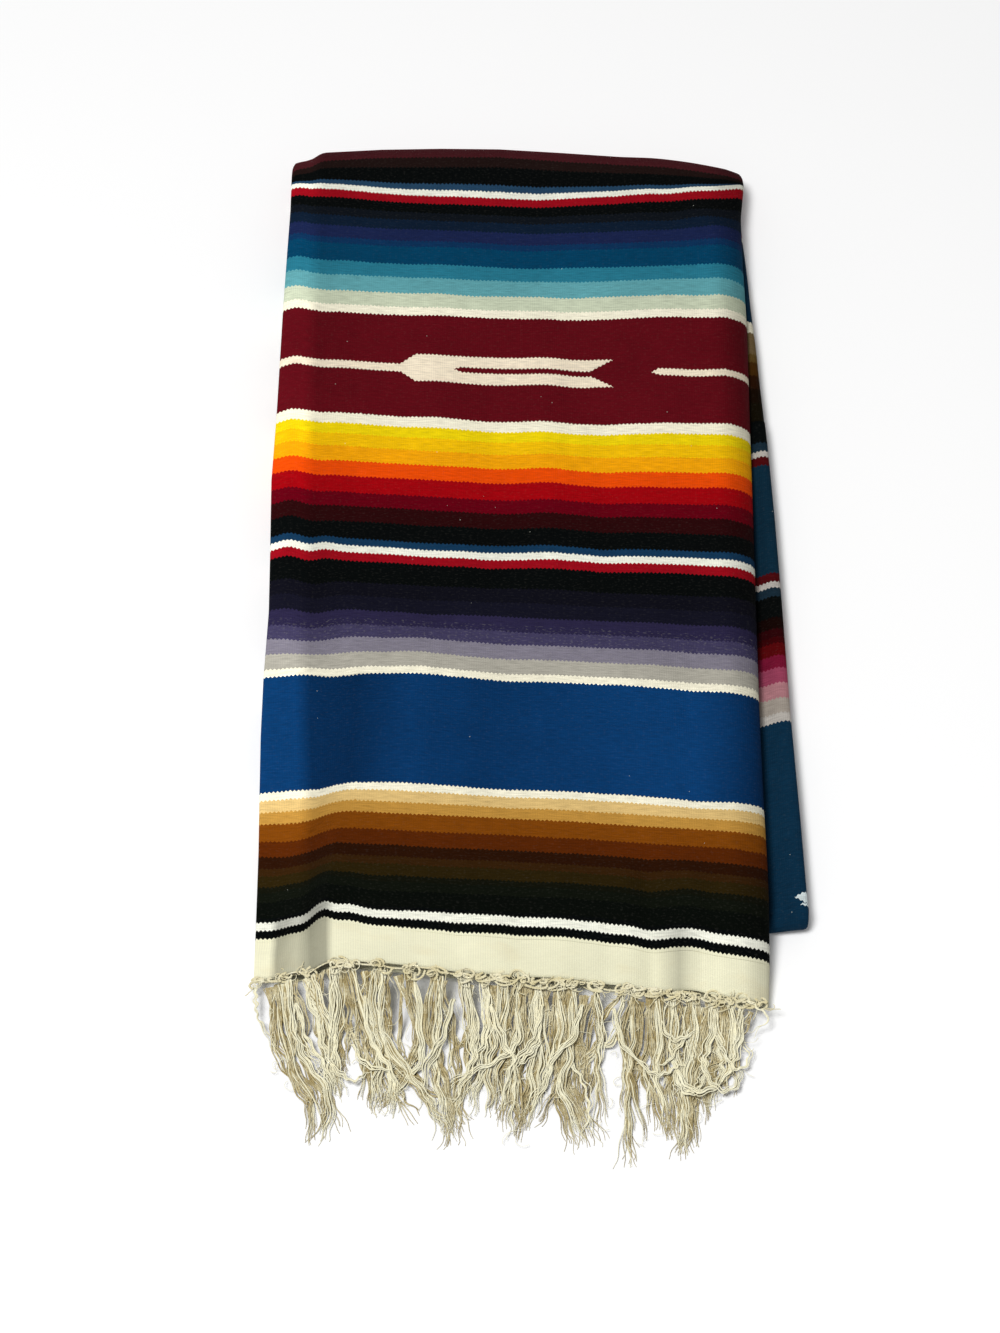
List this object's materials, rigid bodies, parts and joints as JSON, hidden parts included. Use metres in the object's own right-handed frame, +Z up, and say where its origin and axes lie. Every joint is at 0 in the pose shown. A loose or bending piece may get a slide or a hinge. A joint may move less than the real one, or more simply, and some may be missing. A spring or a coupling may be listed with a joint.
{
  "type": "mexican serape",
  "caption": "Striped tapestry-woven blanket garment, folded flat to many layers, with a plain end band and a knotted warp fringe.",
  "frame": {"origin": "middle of the bounding box, on the surface that the folded serape lies on", "axes": "+Y from the fringe towards the far fold, +Z up off the surface, +X to the right seen from the fringe"},
  "size_m": [0.3349, 0.73, 0.039],
  "materials": {
    "striped_web": "matte weft-faced wool tapestry in stripes",
    "cream_web": "matte undyed weft-faced weave",
    "warp_cord": "matte plied cotton warp ends"
  },
  "bodies": {
    "root": {"front_leaf": "striped_web", "back_leaf": "striped_web", "hidden_layers": "striped_web", "end_band": "cream_web", "knot_row": "warp_cord", "fringe": "warp_cord"}
  },
  "joints": []
}
